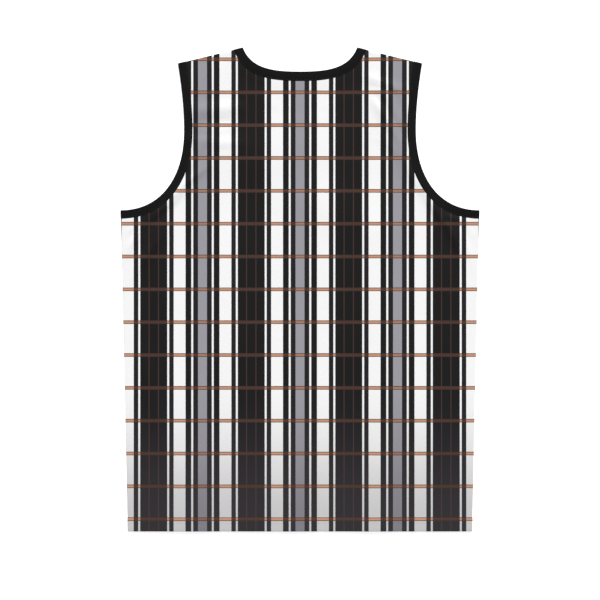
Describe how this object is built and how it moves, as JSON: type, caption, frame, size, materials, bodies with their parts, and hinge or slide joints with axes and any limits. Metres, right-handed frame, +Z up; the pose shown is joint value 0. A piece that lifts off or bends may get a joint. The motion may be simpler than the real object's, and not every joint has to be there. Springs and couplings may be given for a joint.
{
  "type": "basketball jersey",
  "caption": "Sleeveless basketball jersey laid flat with its back up: scooped neck, wide straps, deep armholes and a straight hem, with bound neck and armholes.",
  "frame": {"origin": "on the surface the jersey lies on, under the middle of its outline", "axes": "+X across the chest to the right as seen from above, +Y from the hem up to the neck, +Z up out of the cloth; the back panel is on top"},
  "size_m": [0.5602, 0.7552, 0.0066],
  "materials": {
    "printed_knit": "smooth printed polyester knit with a slight sheen",
    "black_knit": "matt black polyester knit"
  },
  "bodies": {
    "root": {"back_panel": "printed_knit", "front_panel": "printed_knit", "neck_binding": "black_knit", "armhole_binding_left": "black_knit", "armhole_binding_right": "black_knit"}
  },
  "joints": []
}
